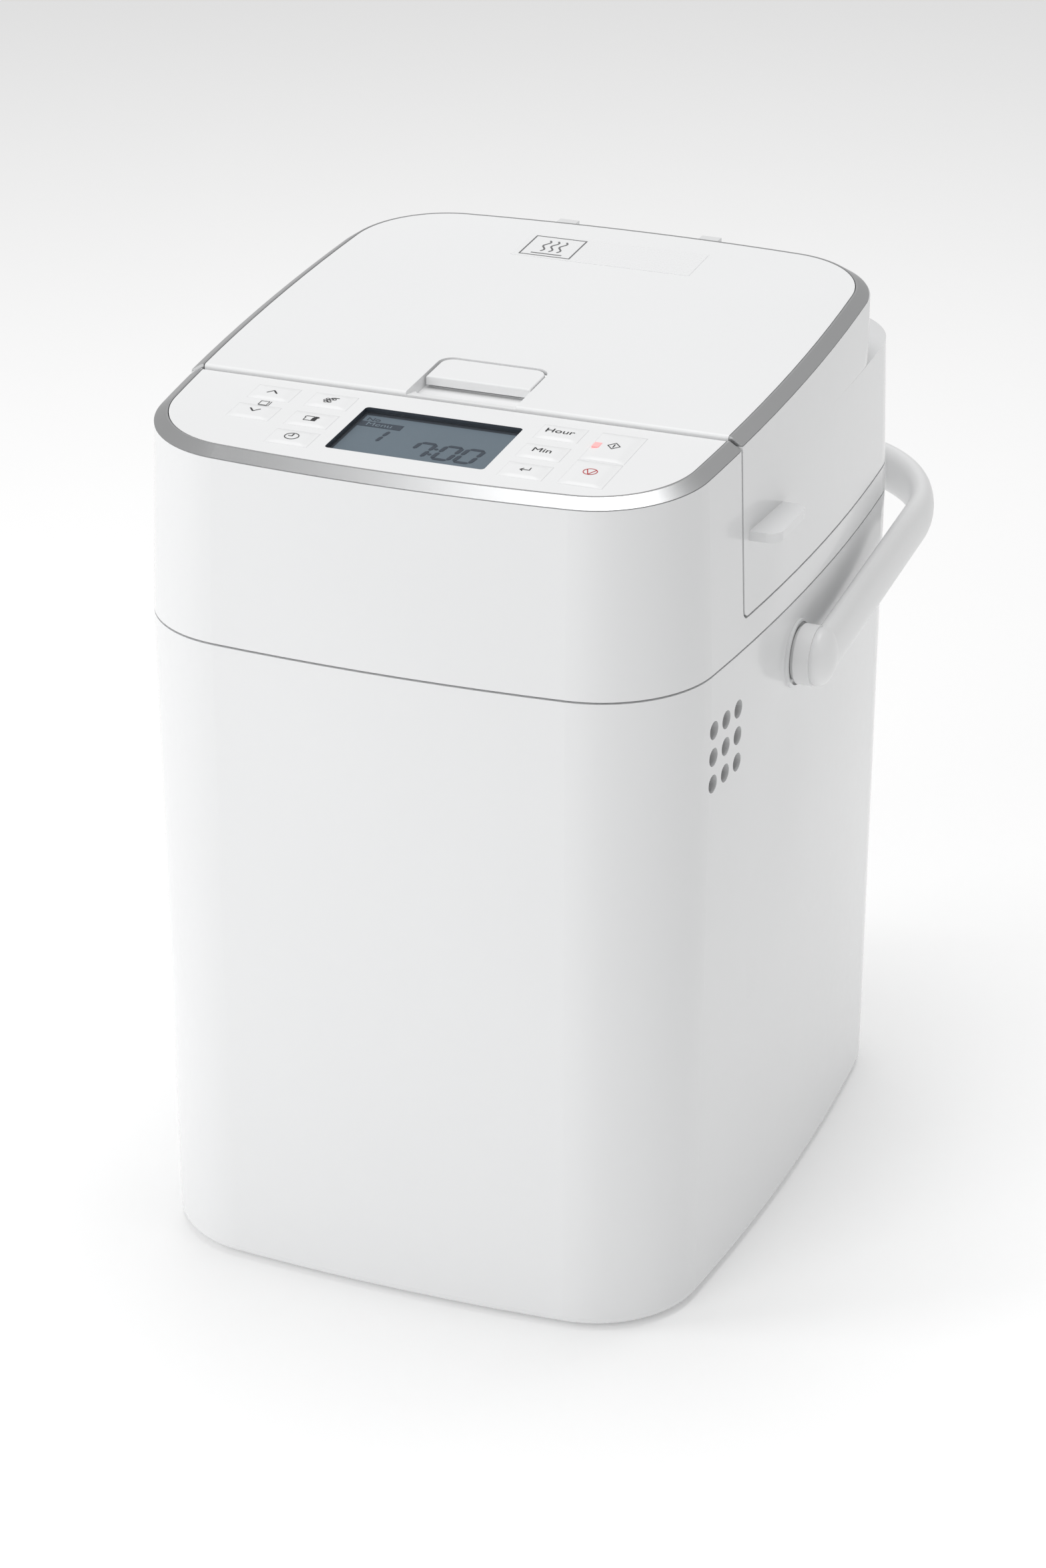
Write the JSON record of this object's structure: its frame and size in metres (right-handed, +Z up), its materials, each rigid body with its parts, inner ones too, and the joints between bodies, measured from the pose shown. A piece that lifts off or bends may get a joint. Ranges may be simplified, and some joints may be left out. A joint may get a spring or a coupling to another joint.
{
  "type": "bread machine",
  "caption": "Upright bread machine with a bowed white housing, sloping control panel, hinged lid, dispenser lid, removable pan and a swinging carrying handle.",
  "frame": {"origin": "on the resting plane, under the middle of the object's box with the handle folded to the rear", "axes": "+Z up, +Y towards the rear, +X to the right as seen from the front"},
  "size_m": [0.255, 0.3143, 0.3494],
  "materials": {
    "white_gloss": "gloss moulded",
    "white_satin": "satin moulded, fine texture",
    "silver_trim": "satin silver paint",
    "grey_plastic": "moulded",
    "dark_plastic": "moulded",
    "display_window": "clear lens",
    "display": "liquid crystal display",
    "circuit_board": "solder mask",
    "lamp": "tinted light pipe",
    "steel": "pressed sheet",
    "zinc_steel": "zinc plated",
    "shaft_steel": "ground",
    "aluminium": "satin pressed sheet",
    "pan_coating": "non-stick coating",
    "heater_sheath": "annealed sheath",
    "ceramic": "glazed ceramic",
    "brass_bush": "sintered",
    "rubber": "matt",
    "silicone": "soft silicone"
  },
  "bodies": {
    "root": {"base_plate": "grey_plastic", "base_screws": "zinc_steel", "case_supports": "zinc_steel", "chassis_plate": "zinc_steel", "chassis_posts": "zinc_steel", "control_board": "circuit_board", "control_panel": "white_satin", "cord_inlet": "dark_plastic", "drive_belt": "rubber", "feet": "rubber", "front_trim": "silver_trim", "handle_pivots": "shaft_steel", "handle_washers": "zinc_steel", "heater_element": "heater_sheath", "heater_terminals": "ceramic", "hinge_pins": "shaft_steel", "inner_case": "steel", "lcd_module": "display", "lcd_window": "display_window", "lower_housing": "white_gloss", "motor": "zinc_steel", "pan_mount": "steel", "power_board": "circuit_board", "shaft_bearing": "brass_bush", "temperature_sensor": "steel", "top_frame": "white_gloss"},
    "lid": {"lid_shell": "white_gloss", "finger_tabs": "white_gloss", "lid_liner": "aluminium", "lid_gasket": "silicone", "steam_vent": "white_satin", "dispenser_box": "grey_plastic", "dispenser_hinge_pins": "shaft_steel"},
    "dispenser_cover": {"dispenser_lid": "white_satin", "lid_trim": "silver_trim", "latch_pin": "shaft_steel"},
    "latch": {"latch_lever": "white_satin"},
    "flap": {"dispenser_flap": "aluminium"},
    "handle": {"carry_handle": "white_satin"},
    "pan": {"bread_pan": "pan_coating", "pan_foot": "pan_coating", "pan_ears": "steel", "pan_bush": "brass_bush"},
    "bail": {"pan_bail": "steel"},
    "blade": {"kneading_blade": "pan_coating", "pan_spindle": "shaft_steel"},
    "drive": {"drive_shaft": "shaft_steel", "drive_pulley": "dark_plastic"},
    "rotor": {"motor_shaft": "shaft_steel", "motor_pulley": "dark_plastic"},
    "key_crust": {"key_crust": "white_satin"},
    "key_down": {"key_down": "white_satin"},
    "key_enter": {"key_enter": "white_satin"},
    "key_hour": {"key_hour": "white_satin"},
    "key_minute": {"key_minute": "white_satin"},
    "key_raisin": {"key_raisin": "white_satin"},
    "key_start": {"key_start": "white_satin", "start_lamp": "lamp"},
    "key_stop": {"key_stop": "white_satin"},
    "key_timer": {"key_timer": "white_satin"},
    "key_up": {"key_up": "white_satin"}
  },
  "joints": [
    {"name": "lid_hinge", "type": "hinge", "parent": "root", "child": "lid", "pos_m": [0, 0.12295, 0.264], "axis": [-1, 0, 0], "range_deg": [0, 80]},
    {"name": "dispenser_hinge", "type": "hinge", "parent": "lid", "child": "dispenser_cover", "pos_m": [0, 0.09535, 0.3453], "axis": [-1, 0, 0], "range_deg": [0, 75]},
    {"name": "latch_pivot", "type": "hinge", "parent": "dispenser_cover", "child": "latch", "pos_m": [0, -0.05335, 0.33686], "axis": [-1, 0, 0], "range_deg": [0, 12], "stiffness_Nm_per_rad": 0.05, "springref_deg": -5.73},
    {"name": "flap_hinge", "type": "hinge", "parent": "lid", "child": "flap", "pos_m": [0, -0.02535, 0.2713], "axis": [-1, 0, 0], "range_deg": [0, 80], "stiffness_Nm_per_rad": 0.01, "springref_deg": -34.38},
    {"name": "handle_pivot", "type": "hinge", "parent": "root", "child": "handle", "pos_m": [0, -0.03185, 0.2344], "axis": [1, 0, 0], "range_deg": [0, 86]},
    {"name": "pan_twist", "type": "hinge", "parent": "root", "child": "pan", "pos_m": [0, 0.01365, 0.095], "axis": [0, 0, 1], "range_deg": [0, 12]},
    {"name": "bail_swing", "type": "hinge", "parent": "pan", "child": "bail", "pos_m": [0, 0.01365, 0.2384], "axis": [-1, 0, 0], "range_deg": [0, 25]},
    {"name": "drive_spin", "type": "hinge", "parent": "root", "child": "drive", "pos_m": [0, 0.01365, 0.04], "axis": [0, 0, 1], "continuous": true},
    {"name": "rotor_spin", "type": "hinge", "parent": "root", "child": "rotor", "pos_m": [-0.04, -0.11135, 0.04], "axis": [0, 0, 1], "continuous": true},
    {"name": "blade_spin", "type": "hinge", "parent": "pan", "child": "blade", "pos_m": [0, 0.01365, 0.1], "axis": [0, 0, 1], "continuous": true},
    {"name": "key_crust_press", "type": "slide", "parent": "root", "child": "key_crust", "axis": [0, 0.0738, -0.9973], "range_m": [0, 0.0005], "stiffness_N_per_m": 800},
    {"name": "key_down_press", "type": "slide", "parent": "root", "child": "key_down", "axis": [0, 0.0738, -0.9973], "range_m": [0, 0.0005], "stiffness_N_per_m": 800},
    {"name": "key_enter_press", "type": "slide", "parent": "root", "child": "key_enter", "axis": [0, 0.0738, -0.9973], "range_m": [0, 0.0005], "stiffness_N_per_m": 800},
    {"name": "key_hour_press", "type": "slide", "parent": "root", "child": "key_hour", "axis": [0, 0.0738, -0.9973], "range_m": [0, 0.0005], "stiffness_N_per_m": 800},
    {"name": "key_minute_press", "type": "slide", "parent": "root", "child": "key_minute", "axis": [0, 0.0738, -0.9973], "range_m": [0, 0.0005], "stiffness_N_per_m": 800},
    {"name": "key_raisin_press", "type": "slide", "parent": "root", "child": "key_raisin", "axis": [0, 0.0738, -0.9973], "range_m": [0, 0.0005], "stiffness_N_per_m": 800},
    {"name": "key_start_press", "type": "slide", "parent": "root", "child": "key_start", "axis": [0, 0.0738, -0.9973], "range_m": [0, 0.0005], "stiffness_N_per_m": 800},
    {"name": "key_stop_press", "type": "slide", "parent": "root", "child": "key_stop", "axis": [0, 0.0738, -0.9973], "range_m": [0, 0.0005], "stiffness_N_per_m": 800},
    {"name": "key_timer_press", "type": "slide", "parent": "root", "child": "key_timer", "axis": [0, 0.0738, -0.9973], "range_m": [0, 0.0005], "stiffness_N_per_m": 800},
    {"name": "key_up_press", "type": "slide", "parent": "root", "child": "key_up", "axis": [0, 0.0738, -0.9973], "range_m": [0, 0.0005], "stiffness_N_per_m": 800}
  ],
  "couplings": [
    {"joint": "rotor_spin", "follows": "drive_spin", "ratio": 4.6667},
    {"joint": "blade_spin", "follows": "drive_spin", "ratio": 1}
  ]
}
